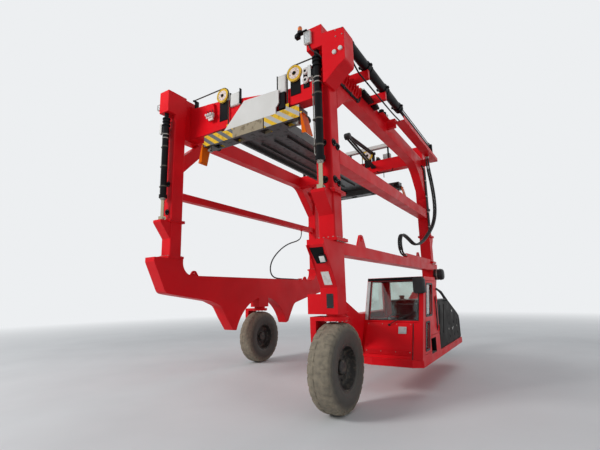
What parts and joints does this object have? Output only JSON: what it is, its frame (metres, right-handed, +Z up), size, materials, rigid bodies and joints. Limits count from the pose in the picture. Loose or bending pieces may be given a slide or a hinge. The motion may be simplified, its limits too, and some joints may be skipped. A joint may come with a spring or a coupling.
{
  "type": "container straddle carrier",
  "caption": "Straddle carrier on three steered wheels with telescopic corner masts, a chain-hung twenty foot spreader, and an outboard cab and power pack",
  "frame": {"origin": "Under the middle of the whole machine, on the ground", "axes": "+X forward, +Y to the machine's left, where the cab is, +Z up"},
  "size_m": [7.18, 5.092, 6.1298],
  "materials": {
    "frame_red": "semi-gloss red paint, dusty",
    "rod_plated": "hard chrome, slightly dull",
    "cylinder_black": "satin black paint",
    "glass": "tinted safety glass",
    "seat_cloth": "woven dark cloth",
    "plastic_black": "matt black",
    "cover_bronze": "dark satin paint",
    "sheave_yellow": "yellow paint on steel",
    "chain_steel": "oiled steel",
    "spreader_white": "off-white paint, weathered",
    "flipper_orange": "orange paint",
    "tyre_rubber": "dusty worn rubber",
    "hose_rubber": "black hose cover",
    "lamp_black": "black housings with clear lenses",
    "box_white": "white paint",
    "rim_dark": "dark dusty paint"
  },
  "bodies": {
    "chassis": {"sill_right": "frame_red", "leg_front_left": "frame_red", "leg_rear_left": "frame_red", "sill_left": "frame_red", "girder_left": "frame_red", "post_front_left": "frame_red", "post_front_right": "frame_red", "post_rear_left": "frame_red", "post_rear_right": "frame_red", "lift_rods": "rod_plated", "base_tray": "frame_red", "cab_shell": "frame_red", "cab_glass": "glass", "cab_seat": "seat_cloth", "cab_console": "plastic_black", "cab_fittings": "plastic_black", "power_pack": "cover_bronze", "lifting_lugs": "frame_red", "lamp_nose": "lamp_black", "hose_left_outer": "hose_rubber", "hose_left_inner": "hose_rubber", "hose_right": "hose_rubber"},
    "upper_frame": {"sleeve_front_left": "frame_red", "sleeve_front_right": "frame_red", "sleeve_rear_left": "frame_red", "sleeve_rear_right": "frame_red", "lift_barrels": "cylinder_black", "beam_upper_left": "frame_red", "beam_upper_right": "frame_red", "beam_mid_left": "frame_red", "tie_right": "frame_red", "cross_beam_front": "frame_red", "cross_beam_rear": "frame_red", "hoist_barrel": "cylinder_black", "hoist_rail": "frame_red", "sheave_plates": "cylinder_black", "sheaves": "sheave_yellow", "chain_falls": "chain_steel", "chain_leads": "chain_steel", "junction_boxes": "box_white", "lamps_upper": "lamp_black"},
    "hoist_rod": {"hoist_rod": "rod_plated"},
    "spreader": {"spreader_frame": "spreader_white", "spreader_mast_plate": "spreader_white", "twistlocks": "chain_steel"},
    "cab_door": {"cab_door": "frame_red", "door_glass": "glass"},
    "flipper_front_left": {"flipper_front_left": "flipper_orange"},
    "flipper_front_right": {"flipper_front_right": "flipper_orange"},
    "flipper_rear_left": {"flipper_rear_left": "flipper_orange"},
    "flipper_rear_right": {"flipper_rear_right": "flipper_orange"},
    "knuckle_front_left": {"knuckle_front_left": "frame_red"},
    "wheel_front_left": {"tyre_front_left": "tyre_rubber", "rim_front_left": "rim_dark"},
    "knuckle_rear_left": {"knuckle_rear_left": "frame_red"},
    "wheel_rear_left": {"tyre_rear_left": "tyre_rubber", "rim_rear_left": "rim_dark"},
    "knuckle_right": {"knuckle_right": "frame_red"},
    "wheel_right": {"tyre_right": "tyre_rubber", "rim_right": "rim_dark"}
  },
  "joints": [
    {"name": "frame_lift", "type": "slide", "parent": "chassis", "child": "upper_frame", "axis": [0, 0, 1], "range_m": [0, 1.4], "deforming": ["hose_left_outer", "hose_left_inner", "hose_right"]},
    {"name": "spreader_hoist", "type": "slide", "parent": "upper_frame", "child": "spreader", "axis": [0, 0, -1], "range_m": [0, 2.28], "deforming": ["chain_falls"]},
    {"name": "hoist_pull", "type": "slide", "parent": "upper_frame", "child": "hoist_rod", "axis": [1, 0, 0], "range_m": [0, 1.14]},
    {"name": "cab_door_hinge", "type": "hinge", "parent": "chassis", "child": "cab_door", "pos_m": [0.47, 2.518, 1.25], "axis": [0, 0, 1], "range_deg": [0, 95]},
    {"name": "flipper_front_left_swing", "type": "hinge", "parent": "spreader", "child": "flipper_front_left", "pos_m": [2.6775, 0.956, 4.95], "axis": [1, 0, 0], "range_deg": [0, 100]},
    {"name": "flipper_front_right_swing", "type": "hinge", "parent": "spreader", "child": "flipper_front_right", "pos_m": [2.6775, -1.544, 4.95], "axis": [-1, 0, 0], "range_deg": [0, 100]},
    {"name": "flipper_rear_left_swing", "type": "hinge", "parent": "spreader", "child": "flipper_rear_left", "pos_m": [-3.1755, 0.956, 4.95], "axis": [1, 0, 0], "range_deg": [0, 100]},
    {"name": "flipper_rear_right_swing", "type": "hinge", "parent": "spreader", "child": "flipper_rear_right", "pos_m": [-3.1755, -1.544, 4.95], "axis": [-1, 0, 0], "range_deg": [0, 100]},
    {"name": "steer_front_left", "type": "hinge", "parent": "chassis", "child": "knuckle_front_left", "pos_m": [2.95, 1.588, 1.33], "axis": [0, 0, 1], "range_deg": [-90, 90]},
    {"name": "roll_front_left", "type": "hinge", "parent": "knuckle_front_left", "child": "wheel_front_left", "pos_m": [2.95, 1.588, 0.64], "axis": [0, 1, 0], "continuous": true},
    {"name": "steer_rear_left", "type": "hinge", "parent": "chassis", "child": "knuckle_rear_left", "pos_m": [-2.95, 1.588, 1.33], "axis": [0, 0, 1], "range_deg": [-90, 90]},
    {"name": "roll_rear_left", "type": "hinge", "parent": "knuckle_rear_left", "child": "wheel_rear_left", "pos_m": [-2.95, 1.588, 0.64], "axis": [0, 1, 0], "continuous": true},
    {"name": "steer_right", "type": "hinge", "parent": "chassis", "child": "knuckle_right", "pos_m": [0.05, -2.176, 1.33], "axis": [0, 0, 1], "range_deg": [-90, 90]},
    {"name": "roll_right", "type": "hinge", "parent": "knuckle_right", "child": "wheel_right", "pos_m": [0.05, -2.176, 0.64], "axis": [0, 1, 0], "continuous": true}
  ],
  "couplings": [
    {"joint": "hoist_pull", "follows": "spreader_hoist", "ratio": 0.5}
  ]
}
